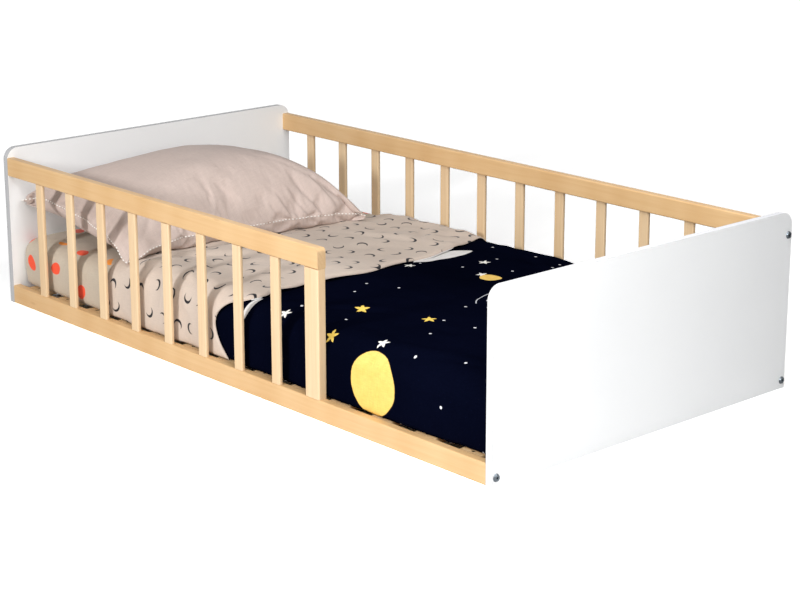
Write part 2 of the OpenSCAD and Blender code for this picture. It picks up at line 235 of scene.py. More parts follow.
lamp("front_lamp", 2, 18, 3.0, 0.35, 45.0)
lamp("foot_lamp", 58, 28, 2.1, 0.9, 21.2)
lamp("head_lamp", 90, 62, 1.6, 0.8, 9.7)
lamp("high_lamp", 15, 48, 3.2, 1.0, 13.4)

# End panels. Boards faced with white melamine, their edges covered with a white edging strip
# that is a little greyer than the faces, with a fine glue line along both arrises; the
# headboard's strip is painted much greyer still, as painted shade.
panel_thickness = 0.015
glue_outer, glue_inner = 0.0007, 0.0011


def coat(name, finish):
    """Gives a node of the frame one material in place of its own."""
    nodes[name].data.materials.clear()
    nodes[name].data.materials.append(finish)


def board_material(name, middle, strip_pale, strip_dark):
    """Satin white with a fine leathery pressing in the faces and a band on the edges; middle
    is the place along the bed of the board's middle plane."""
    made, shade, shader = material(name)
    place = shade.place("Object")
    facing = shade.add("ShaderNodeNewGeometry").outputs["Normal"]
    edge = shade.spread(shade.size_of(shade.parts(facing)[0]), 0.75, 0.55)
    off_middle = shade.size_of(shade.minus(shade.parts(place)[0], middle))
    glue = shade.spread(off_middle, panel_thickness / 2 - glue_inner,
                        panel_thickness / 2 - glue_outer)
    cloudy = shade.noise(place, 6.0, 3.0)
    face = shade.blend(cloudy, srgb(244, 245, 246), srgb(249, 250, 250))
    # The edge band runs from strip_dark to strip_pale; on the headboard these hold painted shade as
    # well as the strip's own tone.
    colour = shade.blend(edge, face, shade.blend(cloudy, strip_dark, strip_pale))
    colour = shade.blend(shade.times(glue, edge), colour, srgb(176, 174, 172))
    gloss = shade.spread(shade.noise(place, 40.0), 0.3, 0.7, 0.34, 0.42)
    shade.feed(shader, {"Base Color": colour, "Roughness": gloss})
    shade.bump(shader, shade.noise(place, 900.0), 0.10, 0.0004)
    return made


for name, strip_pale, strip_dark in [
    # Headboard strip: the edging's tone darkened by painted shade, much greyer than the footboard's.
    ("headboard", srgb(188, 188, 190), srgb(178, 179, 181)),
    ("footboard", srgb(232, 232, 236), srgb(222, 223, 227)),
]:
    board_low, board_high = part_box(name)
    middle = (board_low[0] + board_high[0]) / 2
    coat(name, board_material(name + "_white", middle, strip_pale, strip_dark))

# Rails, guard, post, bars and slats. Planed and lacquered solid softwood with eased edges;
# the grain runs along each length, so each direction has a material of its own.
full_turn = 6.2832


def group(name, takes, gives):
    """Shade of a new node group, the sockets of what it takes and the node that ends it. The
    socket called Vector is a vector and the others are numbers."""
    tree = bpy.data.node_groups.new(name, "ShaderNodeTree")
    for labels, way in ((takes, "INPUT"), (gives, "OUTPUT")):
        for label in labels:
            kind = "NodeSocketVector" if label == "Vector" else "NodeSocketFloat"
            tree.interface.new_socket(label, in_out=way, socket_type=kind)
    given = tree.nodes.new("NodeGroupInput").outputs
    return Shade(tree), given, tree.nodes.new("NodeGroupOutput")


def grain_group():
    """Grain of sawn wood that runs along X of the vector. Growth rings are waves across the
    board, bent by slow noise; fibres are fine noise drawn out along X; a few pin knots are
    the nearest cells of a drawn-out cell pattern. Tone runs from pale to dark."""
    shade, given, result = group("wood_grain", ["Vector", "Knots"], ["Tone", "Height", "Knot"])
    where = given["Vector"]
    y, z = shade.parts(where)[1:]
    bend = shade.drawn_noise(where, (1.3, 9.0, 9.0))
    across = shade.plus(shade.times(y, 95.0), shade.times(z, 60.0))
    turns = shade.plus(across, shade.times(bend, 7.0))
    wave = shade.calc("SINE", shade.times(turns, full_turn))
    ring = shade.calc("POWER", shade.spread(wave, -1.0, 1.0), 2.2)
    fibre = shade.drawn_noise(where, (9.0, 420.0, 420.0), 3.0, 0.6)
    wide = shade.drawn_noise(where, (2.2, 26.0, 26.0))
    tone = shade.plus(shade.times(ring, 0.12), shade.times(fibre, 0.58))
    tone = shade.plus(tone, shade.times(wide, 0.55))
    knot_place = shade.vector("MULTIPLY", where, (4.0, 16.0, 16.0))
    cells = shade.add("ShaderNodeTexVoronoi", {"Vector": knot_place, "Scale": 1.0})
    knot = shade.spread(cells.outputs["Distance"], 0.055, 0.015)
    shade.feed(result, {
        "Tone": shade.spread(tone, 0.28, 1.02),
        "Height": shade.minus(fibre, shade.times(ring, 0.3)),
        "Knot": shade.times(knot, given["Knots"]),
    })
    return shade.tree


wood_grain = grain_group()


def wood_material(name, along, knots, pale, dark):
    """Pale lacquered wood with its grain along the axis along (0, 1 or 2), between a pale and
    a dark colour. Sawn ends, which face along the grain, are darker and duller, and pieces at
    different places along the bed differ a little in tone."""
    made, shade, shader = material(name)
    axes = shade.parts(shade.place("Object"))
    lengthways = shade.join(*(axes[(along + step) % 3] for step in range(3)))
    grain = shade.use(wood_grain, Vector=lengthways, Knots=knots)
    facing = shade.add("ShaderNodeNewGeometry").outputs["Normal"]
    sawn = shade.spread(shade.size_of(shade.parts(facing)[along]), 0.85, 0.97)
    own = shade.noise(shade.join(shade.times(axes[0], 11.0), 0.0, 0.0), 1.0, 1.0)
    tone = shade.plus(grain["Tone"], shade.spread(own, 0.3, 0.7, -0.35, 0.35))
    tone = shade.calc("MAXIMUM", shade.calc("MINIMUM", tone, 1.0), 0.0)
    colour = shade.blend(grain["Knot"], shade.blend(tone, pale, dark), srgb(178, 132, 86))
    ends = shade.blend(grain["Tone"], srgb(216, 184, 142), srgb(192, 154, 110))
    shade.feed(shader, {
        "Base Color": shade.blend(sawn, colour, ends),
        "Roughness": shade.spread(grain["Tone"], 0.0, 1.0, 0.40, 0.52),
        "Specular IOR Level": 0.42,
    })
    shade.bump(shader, grain["Height"], 0.25, 0.0003)
    return made


wood_along = {
    0: wood_material("rail_wood", 0, 0.4, srgb(219, 183, 135), srgb(206, 165, 114)),
    1: wood_material("slat_wood", 1, 0.4, srgb(222, 190, 146), srgb(204, 166, 120)),
    2: wood_material("bar_wood", 2, 0.0, srgb(229, 203, 166), srgb(214, 179, 136)),
}
lengthways_nodes = ["front_lower_rail", "rear_lower_rail", "rear_upper_rail",
                    "front_guard_rail", "front_cleat", "rear_cleat"]
for name in nodes:
    if name in lengthways_nodes:
        direction = 0
    elif name.startswith("slat_") and name != "slat_screws":
        direction = 1
    elif name.startswith(("front_bar_", "rear_bar_")) or name == "front_guard_post":
        direction = 2
    else:
        continue
    coat(name, wood_along[direction])

# Fasteners. Zinc plated bolts, barrel nuts and countersunk screws, and plain turned beech for
# the dowels and pins; only the bolt heads are seen on the finished bed.


def zinc_material():
    """Blue-passivated zinc: bright metal, cloudy in gloss, with faint turning marks."""
    made, shade, shader = material("zinc_plate")
    place = shade.place("Object")
    cloud = shade.noise(place, 260.0, 3.0)
    shade.feed(shader, {
        "Base Color": shade.blend(cloud, srgb(84, 90, 96), srgb(122, 130, 136)),
        "Metallic": 1.0,
        "Roughness": shade.spread(cloud, 0.3, 0.7, 0.16, 0.28),
    })
    shade.bump(shader, shade.noise(place, 1800.0), 0.15, 0.0002)
    return made


def beech_material():
    """Unfinished beech: short dark flecks on a warm ground, dull."""
    made, shade, shader = material("plain_beech")
    fleck = shade.spread(shade.noise(shade.place("Object"), 700.0, 2.0, 0.7), 0.55, 0.7)
    colour = shade.blend(fleck, srgb(214, 176, 128), srgb(176, 132, 88))
    shade.feed(shader, {"Base Color": colour, "Roughness": 0.62})
    shade.bump(shader, fleck, 0.2, 0.0003)
    return made


for finish, names in (
    (zinc_material(), ("panel_bolts", "barrel_nuts", "cleat_screws", "slat_screws")),
    (beech_material(), ("rail_dowels", "bar_pins")),
):
    for name in names:
        coat(name, finish)

# Mattress. A foam block in a white quilted cover that is all but hidden by the fitted sheet,
# a cotton sheet with elastic in its hem, drawn over it, its sides a little puckered.
sheet_low, sheet_high = (np.array(corner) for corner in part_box("fitted_sheet"))
mattress_half = (sheet_high - sheet_low)[:2] / 2
mattress_middle = (sheet_high + sheet_low)[:2] / 2
mattress_corner = 0.026
low_edge, top_edge = 0.014, 0.036
duvet_low, duvet_high = (np.array(corner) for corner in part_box("duvet"))
duvet_slant = 0.0914
weld_distance = 0.00005


def skin(name, points, faces, finish, cloth=None):
    """Smooth mesh object from arrays of points and four-cornered faces. cloth gives every
    point its place on the flat cloth in metres, and becomes the UV map."""
    mesh = bpy.data.meshes.new(name)
    mesh.from_pydata(points.reshape(-1, 3).tolist(), [], faces.tolist())
    if cloth is not None:
        corners = np.empty(len(mesh.loops), dtype=np.int32)
        mesh.loops.foreach_get("vertex_index", corners)
        layer = mesh.uv_layers.new(name="cloth")
        layer.data.foreach_set("uv", cloth.reshape(-1, 2)[corners].ravel())
    mesh.shade_smooth()
    mesh.materials.append(finish)
    made = bpy.data.objects.new(name, mesh)
    bpy.context.scene.collection.objects.link(made)
    return made


def weld(piece):
    """Joins points that lie on each other and turns all faces outwards."""
    shell = bmesh.new()
    shell.from_mesh(piece.data)
    bmesh.ops.remove_doubles(shell, verts=shell.verts, dist=weld_distance)
    bmesh.ops.dissolve_degenerate(shell, dist=weld_distance / 2, edges=shell.edges)
    bmesh.ops.recalc_face_normals(shell, faces=shell.faces)
    shell.to_mesh(piece.data)
    shell.free()


def grid_faces(rows, columns, closed=False):
    """Faces of a grid of points, rows by columns; closed joins the last column to the first."""
    index = np.arange(rows * columns).reshape(rows, columns)
    if closed:
        index = np.hstack([index, index[:, :1]])
    return np.stack([index[:-1, :-1], index[:-1, 1:], index[1:, 1:], index[1:, :-1]],
                    axis=-1).reshape(-1, 4)


noise_waves, noise_swing = 12, 3.5


def soft_noise(x, y, size, seed):
    """Smooth bumps about size across, from about -1 to 1: plane waves with seeded directions,
    lengths and phases, added up and scaled down."""
    maker = np.random.default_rng(seed)
    total = np.zeros(np.broadcast(x, y).shape)
    for _ in range(noise_waves):
        angle, phase = maker.uniform(0, 2 * math.pi, 2)
        pace = 2 * math.pi / (size * maker.uniform(0.7, 1.6))
        total += np.sin(pace * (x * math.cos(angle) + y * math.sin(angle)) + phase)
    return total / noise_swing


def outline_of(half, corner, count):
    """Rounded rectangle, count points evenly round it from the middle of the +X side: the
    corner of an inner rectangle that each point belongs to, its outward direction, and how
    far round it lies."""
    straight = 2 * (half - corner)
    arc = corner * math.pi / 2
    pieces = np.cumsum([straight[1] / 2, arc, straight[0], arc, straight[1], arc,
                        straight[0], arc, straight[1] / 2])
    at = np.linspace(0, pieces[-1], count, endpoint=False)
    marks = np.concatenate([[0], pieces])
    turn = np.interp(at, marks, np.array([0, 0, 1, 1, 2, 2, 3, 3, 4, 4]) * math.pi / 2)
    inner = half - corner
    knots_x = np.array([1, 1, 1, -1, -1, -1, -1, 1, 1, 1]) * inner[0]
    knots_y = np.array([0, 1, 1, 1, 1, -1, -1, -1, -1, 0]) * inner[1]
    base = np.stack([np.interp(at, marks, knots_x), np.interp(at, marks, knots_y)], axis=-1)
    return base, np.stack([np.cos(turn), np.sin(turn)], axis=-1), at


def rounded_block(half, corner, count, inset, height, bulge):
    """Rings round a block: ring k lies inset[k] inside the outline at height[k]. Rings deeper
    than the corner radius shrink to the middle line. bulge (rings by points) moves a point
    outwards along the outline's direction."""
    base, outward = outline_of(half, corner, count)[:2]
    inset, height = np.asarray(inset)[:, None], np.asarray(height)[:, None]
    deep = np.maximum(inset - corner, 0)
    inner = half - corner
    shrink_x = 1 - deep / inner[0]
    shrink_y = np.maximum(1 - deep / inner[1], 0)
    reach = np.maximum(corner - inset, 0) + bulge
    x = base[:, 0] * shrink_x + outward[:, 0] * reach
    y = base[:, 1] * shrink_y + outward[:, 1] * reach
    return np.stack([x, y, height + 0 * x], axis=-1)


under_rings, bend_rings, side_rings, top_rings = 5, 9, 9, 26


def edge_profile(low, high, edge_low, edge_high, flat_low, flat_high):
    """Insets and heights of the rings of a block from under it, round its lower edge, up its
    side, round its upper edge and over its top. flat_low and flat_high are the insets at
    which the rings begin and end."""
    quarter = np.linspace(0, math.pi / 2, bend_rings)
    under = np.linspace(flat_low, edge_low, under_rings)[:-1]
    side = np.linspace(low + edge_low, high - edge_high, side_rings)[1:-1]
    over = edge_high + (flat_high - edge_high) * np.linspace(0, 1, top_rings)[1:]
    inset = np.concatenate([under, edge_low * (1 - np.sin(quarter)), 0 * side,
                            edge_high * (1 - np.cos(quarter)), over])
    height = np.concatenate([low + 0 * under, low + edge_low * (1 - np.cos(quarter)), side,
                             high - edge_high * (1 - np.sin(quarter)), high + 0 * over])
    return inset, height


def weave_group():
    """Plain cotton weave on the flat cloth: crossed threads as two sine waves, slubs as noise
    drawn out along each thread direction, and soft creases as ridged noise."""
    shade, given, result = group("cotton_weave", ["Vector", "Thread", "Creases"],
                                 ["Tone", "Height"])
    where = given["Vector"]
    pace = shade.calc("DIVIDE", full_turn, given["Thread"])
    warp, weft = (shade.calc("SINE", shade.times(axis, pace)) for axis in shade.parts(where)[:2])
    slub = shade.plus(shade.drawn_noise(where, (900.0, 60.0, 1.0)),
                      shade.drawn_noise(where, (60.0, 900.0, 1.0)))
    ridge = shade.size_of(shade.minus(shade.noise(where, 16.0, 3.0, 0.55), 0.5))
    ridge = shade.times(ridge, given["Creases"])
    threads = shade.plus(shade.times(shade.times(warp, weft), 0.04), shade.times(slub, 0.10))
    shade.feed(result, {
        "Tone": shade.spread(slub, 0.7, 1.3),
        "Height": shade.minus(threads, shade.times(ridge, 6.0)),
    })
    return shade.tree


cotton_weave = weave_group()
thread_pitch = 0.0007


def finish_cotton(shade, shader, colour, where, sheen, creases=1.0, contrast=0.06, gloss=0.2):
    """Ends a cotton material: thread tone over the colour, bump from the weave, dull sheen."""
    weave = shade.use(cotton_weave, Vector=where, Thread=thread_pitch, Creases=creases)
    tone = shade.spread(weave["Tone"], 0.0, 1.0, 1 - contrast, 1 + contrast)
    shade.feed(shader, {
        "Base Color": shade.scaled(colour, tone), "Roughness": 0.85,
        "Specular IOR Level": gloss, "Sheen Weight": sheen, "Sheen Roughness": 0.5,
    })
    shade.bump(shader, weave["Height"], 0.35, 0.0012)


def scatter_group():
    """Evenly scattered places on the flat cloth: the cloth is cut into square cells, each
    cell holds one place, moved and turned by the cell's own white noise. Gives the vector from
    the place, in cells and turned, and two numbers of the cell."""
    shade, given, result = group("scattered_places", ["Vector", "Pitch", "Wander"],
                                 ["Vector", "Pick", "Pick2"])
    cells = shade.scaled(given["Vector"], shade.calc("DIVIDE", 1.0, given["Pitch"]))
    flat = shade.vector("MULTIPLY", cells, (1.0, 1.0, 0.0))
    row = shade.calc("FLOOR", shade.parts(flat)[1])
    odd = shade.times(shade.calc("FLOORED_MODULO", row, 2.0), 0.5)
    flat = shade.vector("ADD", flat, shade.join(odd, 0.0, 0.0))
    cell = shade.vector("FLOOR", flat)
    dice = shade.add("ShaderNodeTexWhiteNoise", {"Vector": cell}, noise_dimensions="3D").outputs
    first, second, third = shade.add("ShaderNodeSeparateColor", {0: dice["Color"]}).outputs
    off = shade.vector("SUBTRACT", shade.vector("SUBTRACT", flat, cell), (0.5, 0.5, 0.0))
    step = shade.join(shade.minus(first, 0.5), shade.minus(second, 0.5), 0.0)
    off = shade.vector("SUBTRACT", off, shade.scaled(step, given["Wander"]))
    turned = shade.add("ShaderNodeVectorRotate", {
        "Vector": off, "Angle": shade.times(third, scatter_turn),
    }, rotation_type="Z_AXIS")
    shade.feed(result, {"Vector": turned.outputs[0], "Pick": dice["Value"], "Pick2": first})
    return shade.tree


scatter_turn = 6.28
scattered_places = scatter_group()


def sheet_material():
    """Grey-beige cotton printed with scattered pebbles and half discs in orange, red and
    amber."""
    made, shade, shader = material("printed_sheet")
    where = shade.place("UV")
    spot = shade.use(scattered_places, Vector=where, Pitch=0.092, Wander=0.50)
    radius = shade.length(shade.vector("MULTIPLY", spot["Vector"], (1.0, 1.35, 0.0)))
    wobble = shade.times(shade.noise(where, 40.0, 1.0), 0.08)
    disc = shade.spread(shade.plus(radius, wobble), 0.232, 0.216)
    cut = shade.spread(shade.plus(shade.parts(spot["Vector"])[1], 0.03), 0.0, 0.015)
    keep = shade.calc("MAXIMUM", cut, shade.minus(1.0, shade.above(spot["Pick2"], 0.5)))
    warm = shade.blend(shade.above(spot["Pick"], 0.50), srgb(240, 84, 52), srgb(244, 148, 48))
    warm = shade.blend(shade.above(spot["Pick"], 0.78), warm, srgb(146, 34, 44))
    ground = shade.blend(shade.noise(where, 9.0), srgb(186, 172, 154), srgb(197, 184, 166))
    colour = shade.blend(shade.times(disc, keep), ground, warm)
    finish_cotton(shade, shader, colour, where, 0.15, creases=1.8)
    return made


def cover_material():
    """White quilted mattress cover: diamond channels pressed into knitted cloth."""
    made, shade, shader = material("mattress_cover")
    place = shade.place("Object")
    x, y = shade.parts(place)[:2]
    channel = shade.calc("MINIMUM", *(
        shade.size_of(shade.calc("SINE", shade.times(slant, 45.0)))
        for slant in (shade.plus(x, y), shade.minus(x, y))
    ))
    knit = shade.noise(place, 1400.0, 1.0)
    height = shade.plus(shade.calc("POWER", channel, 0.5), shade.times(knit, 0.1))
    # Painted shade: the cloth's colour darkens down into each pressed channel.
    colour = shade.blend(channel, srgb(222, 220, 214), srgb(238, 237, 232))
    shade.feed(shader, {"Base Color": colour, "Roughness": 0.9})
    shade.bump(shader, height, 0.6, 0.004)
    return made


belly_out, belly_waves, belly_in = 0.0044, 0.0012, 0.0110
top_sag, top_waves, sag_reach = 0.0016, 0.0014, 0.02


def mattress_rings(skin_in, flat_low, count):
    """Rings of the mattress surface lying skin_in inside its outside. The side bulges a
    little in small waves of gathered cloth, and is pressed in where the duvet covers it."""
    inset, height = edge_profile(sheet_low[2] + skin_in, sheet_high[2] - skin_in, low_edge,
                                 top_edge, flat_low, mattress_half[1])
    base, _, at = outline_of(mattress_half, mattress_corner, count)
    share = (height - sheet_low[2]) / (sheet_high[2] - sheet_low[2])
    belly = np.sin(math.pi * np.clip(share, 0, 1))[:, None] * (inset < 0.03)[:, None]
    gather = soft_noise(at[None, :], 0.4 * height[:, None], 0.075, 3)
    head_edge = np.where(base[:, 1] < 0, duvet_low[0], duvet_low[0] + duvet_slant)
    covered = np.clip((base[:, 0] + mattress_middle[0] - head_edge + 0.005) / 0.03, 0, 1)
    bulge = belly * ((1 - covered) * (belly_out + belly_waves * gather) - belly_in * covered)
    points = rounded_block(mattress_half - skin_in, mattress_corner, count, inset, height, bulge)
    points[..., :2] += mattress_middle
    x, y = points[..., 0], points[..., 1]
    top = np.clip((height[:, None] - (sheet_high[2] - sag_reach)) / sag_reach, 0, 1)
    points[..., 2] -= top * (top_sag + top_waves * soft_noise(x, y, 0.22, 5))
    return points


def mattress_piece(name, skin_in, flat_low, count, finish):
    """Skin round the mattress; its place on the cloth carries on down the sides from the edges
    of the top."""
    points = mattress_rings(skin_in, flat_low, count)
    centre = np.clip(points[..., :2] - mattress_middle, -mattress_half, mattress_half)
    drop = (sheet_high[2] - points[..., 2])[..., None]
    lean = np.abs(centre) / mattress_half
    away = np.sign(centre) * (lean >= lean.max(axis=-1, keepdims=True)) * drop
    faces = grid_faces(points.shape[0], points.shape[1], closed=True)
    made = skin(name, points, faces, finish, centre + away)
    weld(made)
    return made


pad_inset, pad_points, sheet_points = 0.0018, 360, 720
mattress_pad = mattress_piece("mattress_pad", pad_inset, mattress_half[1], pad_points,
                              cover_material())
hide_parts("mattress_core")
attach(mattress_pad, "mattress")

sheet_hem = 0.09
printed_sheet = mattress_piece("fitted_sheet_cloth", 0.0, sheet_hem, sheet_points,
                               sheet_material())
thickness = printed_sheet.modifiers.new("cloth_thickness", "SOLIDIFY")
thickness.thickness = 0.0009
thickness.offset = -1
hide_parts("fitted_sheet")
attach(printed_sheet, "mattress")

# Duvet. A thin quilt in a cotton cover, one face dark blue with a night pattern, the other
# beige with small crescents; its head end is folded back over itself, its sides hang down
# between the mattress and the side rails.
bed_top = sheet_high[2] + 0.0003
single, doubled = 0.017, 0.023
lower_share = 0.5
head_front, head_rear = duvet_low[0], duvet_low[0] + duvet_slant
foot_edge = duvet_high[0]
hem_height = 0.0388
rear_thinning = 0.009
slant_half = 0.355
side_begins, side_ends = 0.30, 0.36
thin_begins, thin_ends = 0.15, 0.30


def curve(at, knots, values):
    """Smooth curve through values at knots: cubic pieces whose slope at a knot is that of the
    line between its neighbours."""
    knots, values = np.asarray(knots, float), np.asarray(values, float)
    slopes = np.gradient(values, knots)
    cell = np.clip(np.searchsorted(knots, at) - 1, 0, len(knots) - 2)
    width = knots[cell + 1] - knots[cell]
    t = np.clip((at - knots[cell]) / width, 0, 1)
    return (values[cell] * (2 * t ** 3 - 3 * t ** 2 + 1)
            + values[cell + 1] * (3 * t ** 2 - 2 * t ** 3)
            + width * (slopes[cell] * (t ** 3 - 2 * t ** 2 + t) + slopes[cell + 1] * (t ** 3 - t ** 2)))


def smooth_step(value, low, high):
    """0 below low, 1 above high, and an S-shaped rise between."""
    t = np.clip((value - low) / (high - low), 0, 1)
    return t * t * (3 - 2 * t)


def over_the_edge(x, s, side_y, top_z, radius):
    """Path over the bed at x: s runs from the middle over the top, round a bend of the given
    radius and straight down the side. Gives the points and their outward directions."""
    flat = side_y - radius
    along = np.abs(s)
    turn = np.clip((along - flat) / radius, 0, math.pi / 2)
    down = np.maximum(along - flat - radius * math.pi / 2, 0)
    y = np.sign(s) * (np.minimum(along, flat) + radius * np.sin(turn))
    z = top_z - radius * (1 - np.cos(turn)) - down
    out = np.stack([0 * x, np.sign(s) * np.sin(turn), np.cos(turn)], axis=-1)
    return np.stack([x, y, z], axis=-1), out


def reach_of_hem(side_y, top_z, radius):
    """Distance s from the middle at which the path over the edge has come down to the hem."""
    return side_y + radius * (math.pi / 2 - 2) + top_z - hem_height


def head_edge_at(s):
    """Place along the bed of the duvet's head edge, which runs askew across it."""
    share = np.clip((s + slant_half) / (2 * slant_half), 0, 1)
    return head_front + (head_rear - head_front) * share


def side_share(s):
    """0 on top of the bed and 1 on its sides."""
    return smooth_step(np.abs(s), side_begins, side_ends)


def thinner_at(s):
    """What the filling loses in thickness toward the rear side."""
    return rear_thinning * smooth_step(s, thin_begins, thin_ends)


def fold(x, s, start, end, width, rise):
    """Crease in the cloth from start to end, places as (x, s): a ridge of height rise with a
    sharper valley along its right side, both fading out at the ends."""
    start, end = np.array(start), np.array(end)
    length = np.linalg.norm(end - start)
    ahead = (end - start) / length
    t = ((x - start[0]) * ahead[0] + (s - start[1]) * ahead[1]) / length
    off = (x - start[0]) * ahead[1] - (s - start[1]) * ahead[0]
    fade = np.sin(math.pi * np.clip(t, 0, 1)) ** 0.7
    ridge = np.exp(-(off / width) ** 2) - 0.8 * np.exp(-((off - 1.15 * width) / (0.5 * width)) ** 2)
    return rise * fade * ridge


def puffed_cloth(name, middle, outward, half, finishes, cloth):
    """Closed quilt from a grid of middle points, their outward directions and the half
    thickness, which is nothing along the border. The first finish is for the outward face and
    the second for the other."""
    rows, columns = half.shape
    top = middle + outward * half[..., None]
    below = middle - outward * half[..., None]
    points = np.concatenate([top.reshape(-1, 3), below.reshape(-1, 3)])
    up = grid_faces(rows, columns)
    down = up[:, ::-1] + rows * columns
    made = skin(name, points, np.concatenate([up, down]), finishes[0],
                np.concatenate([cloth.reshape(-1, 2)] * 2))
    made.data.materials.append(finishes[1])
    made.data.polygons.foreach_set("material_index", np.repeat([0, 1], [len(up), len(down)]))
    weld(made)
    return made


def crowd(count, ends):
    """Numbers from 0 to 1, count of them, that lie closer together near both ends."""
    even = np.linspace(0, 1, count)
    return (1 - ends) * even + ends * (1 - np.cos(math.pi * even)) / 2


def rounded_border(along, reach):
    """1 inside a border strip and falling to 0 at the border like a quarter circle; along is
    the distance from the border."""
    t = np.clip(along / reach, 0, 1)
    return np.sqrt(np.clip(1 - (1 - t) ** 2, 0, 1))


def star_group():
    """Five-pointed star round the middle of the vector: the radius of its outline swings
    between its points and its notches as the angle goes round."""
    shade, given, result = group("five_point_star", ["Vector", "Radius"], ["Mask"])
    x, y = shade.parts(given["Vector"])[:2]
    angle = shade.calc("DIVIDE", shade.calc("ARCTAN2", y, x), 2 * math.pi / 5)
    swing = shade.size_of(shade.minus(shade.calc("FRACT", angle), 0.5))
    point = shade.calc("POWER", shade.times(swing, 2.0), 1.35)
    outline = shade.times(given["Radius"], shade.plus(0.40, shade.times(point, 0.60)))
    away = shade.length(shade.join(x, y, 0.0))
    inside = shade.calc("DIVIDE", shade.minus(outline, away), given["Radius"])
    shade.feed(result, {"Mask": shade.spread(inside, -0.03, 0.05)})
    return shade.tree


def night_material():
    """Dark blue cotton with scattered five-pointed stars and dots in white and pale yellow,
    three plain yellow discs, rings of dashes like star trails, and long white patches along
    the turned-down hem."""
    made, shade, shader = material("night_cotton")
    where = shade.place("UV")
    colour = shade.blend(shade.noise(where, 2.5, 3.0), srgb(1, 2, 6), srgb(8, 11, 30))
    dots = shade.use(scattered_places, Vector=where, Pitch=0.062, Wander=0.8)
    dot = shade.spread(shade.length(dots["Vector"]), 0.050, 0.036)
    dot = shade.times(dot, shade.above(dots["Pick"], 0.66))
    colour = shade.blend(dot, colour, srgb(226, 226, 230))
    stars = shade.use(scattered_places, Vector=where, Pitch=0.135, Wander=0.55)
    large = shade.spread(stars["Pick2"], 0.0, 1.0, 0.060, 0.115)
    star = shade.use(star_shape, Vector=stars["Vector"], Radius=large)["Mask"]
    shown = shade.times(star, shade.above(stars["Pick"], 0.42))
    yellow = shade.above(stars["Pick"], 0.70)
    paint = shade.blend(yellow, srgb(240, 238, 232), srgb(238, 204, 100))
    colour = shade.blend(shown, colour, paint)
    streaks = shade.noise(where, 60.0, 3.0)
    disc_paint = shade.blend(streaks, srgb(242, 208, 120), srgb(234, 190, 98))
    for middle, radius in yellow_discs:
        away = shade.length(shade.vector("SUBTRACT", where, middle))
        wavy = shade.plus(away, shade.times(streaks, 0.003))
        disc = shade.spread(wavy, radius + 0.0010, radius - 0.0002)
        colour = shade.blend(disc, colour, disc_paint)
    for middle, radius in star_trails:
        off = shade.vector("SUBTRACT", where, middle)
        away = shade.length(off)
        rings = shade.calc("DIVIDE", away, trail_pitch)
        line = shade.size_of(shade.minus(shade.calc("FRACT", rings), 0.5))
        x, y = shade.parts(off)[:2]
        shift = shade.times(shade.calc("FLOOR", rings), 1.9)
        angle = shade.plus(shade.calc("ARCTAN2", y, x), shift)
        dash = shade.spread(shade.calc("SINE", shade.times(angle, 3.0)), -0.35, -0.25)
        trail = shade.times(shade.spread(line, 0.07, 0.04), dash)
        trail = shade.times(trail, shade.spread(away, radius + 0.004, radius))
        colour = shade.blend(trail, colour, srgb(214, 216, 222))
    for middle, radius in white_patches:
        off = shade.vector("SUBTRACT", where, middle)
        off = shade.vector("MULTIPLY", off, (1.0, 0.42, 0.0))
        patch = shade.spread(shade.length(off), radius + 0.0008, radius - 0.0004)
        colour = shade.blend(patch, colour, srgb(232, 230, 228))
    finish_cotton(shade, shader, colour, where, 0.0, creases=0.8, contrast=0.12, gloss=0.0)
    return made


def crescent_material():
    """Warm beige cotton with small black crescents, each a disc less a shifted disc."""
    made, shade, shader = material("crescent_cotton")
    where = shade.place("UV")
    spot = shade.use(scattered_places, Vector=where, Pitch=0.049, Wander=0.42)["Vector"]
    shifted = shade.length(shade.vector("SUBTRACT", spot, (0.084, 0.0, 0.0)))
    crescent = shade.times(shade.spread(shade.length(spot), 0.232, 0.216),
                           shade.spread(shifted, 0.188, 0.206))
    ground = shade.blend(shade.noise(where, 7.0), srgb(199, 182, 168), srgb(208, 193, 180))
    colour = shade.blend(crescent, ground, srgb(38, 36, 40))
    finish_cotton(shade, shader, colour, where, 0.12)
    return made


hem_line_x = 0.045
yellow_discs = [((0.412, -0.392, 0.0), 0.056), ((0.235, 0.100, 0.0), 0.022),
                ((0.560, 0.215, 0.0), 0.030)]
star_trails = [((0.400, 0.020, 0.0), 0.085), ((0.300, 0.300, 0.0), 0.060)]
trail_pitch = 0.019
white_patches = [((0.048, 0.150, 0.0), 0.032), ((0.050, -0.330, 0.0), 0.011)]
star_shape = star_group()
night_cotton = night_material()
crescent_cotton = crescent_material()

# Lower layer: dark face up, from just inside the fold at the head to the foot end. It is
# thinner and lies closer in where the other layer is turned down over it.
side_reach, edge_radius = 0.3452, 0.040
inside_fold, foot_border = 0.022, 0.001
s_half = reach_of_hem(side_reach, bed_top + single / 2, edge_radius)
rows, columns = 168, 176
s = s_half * (2 * crowd(columns, 0.25) - 1)[None, :]
head_x = head_edge_at(s)
x = (head_x + inside_fold) + (
    foot_edge - foot_border - head_x - inside_fold
) * crowd(rows, 0.2)[:, None]
s = s + 0 * x
turned = 1 - smooth_step(x, hem_line_x - 0.012, hem_line_x + 0.022)
free = 1 - turned
thin_rear = thinner_at(s)
thick = single - thin_rear - (single - doubled * lower_share - 0.5 * thin_rear) * turned
side_y, top_z = side_reach + 0.0050 * free, bed_top + thick / 2
reach = reach_of_hem(side_y, top_z, edge_radius)
s = s * reach / s_half
on_side = side_share(s)
half = thick / 2 * (1 - on_side) + (0.0022 + 0.0014 * free) * on_side
points, out = over_the_edge(x, s, side_y, top_z, edge_radius)
ripple = (0.0030 * soft_noise(x, 0.35 * s, 0.115, 11) * on_side * free
          + 0.0016 * soft_noise(x, s, 0.19, 12) * (1 - on_side) * (0.3 + 0.7 * free)
          + 0.0007 * soft_noise(x, s, 0.06, 13) * free)
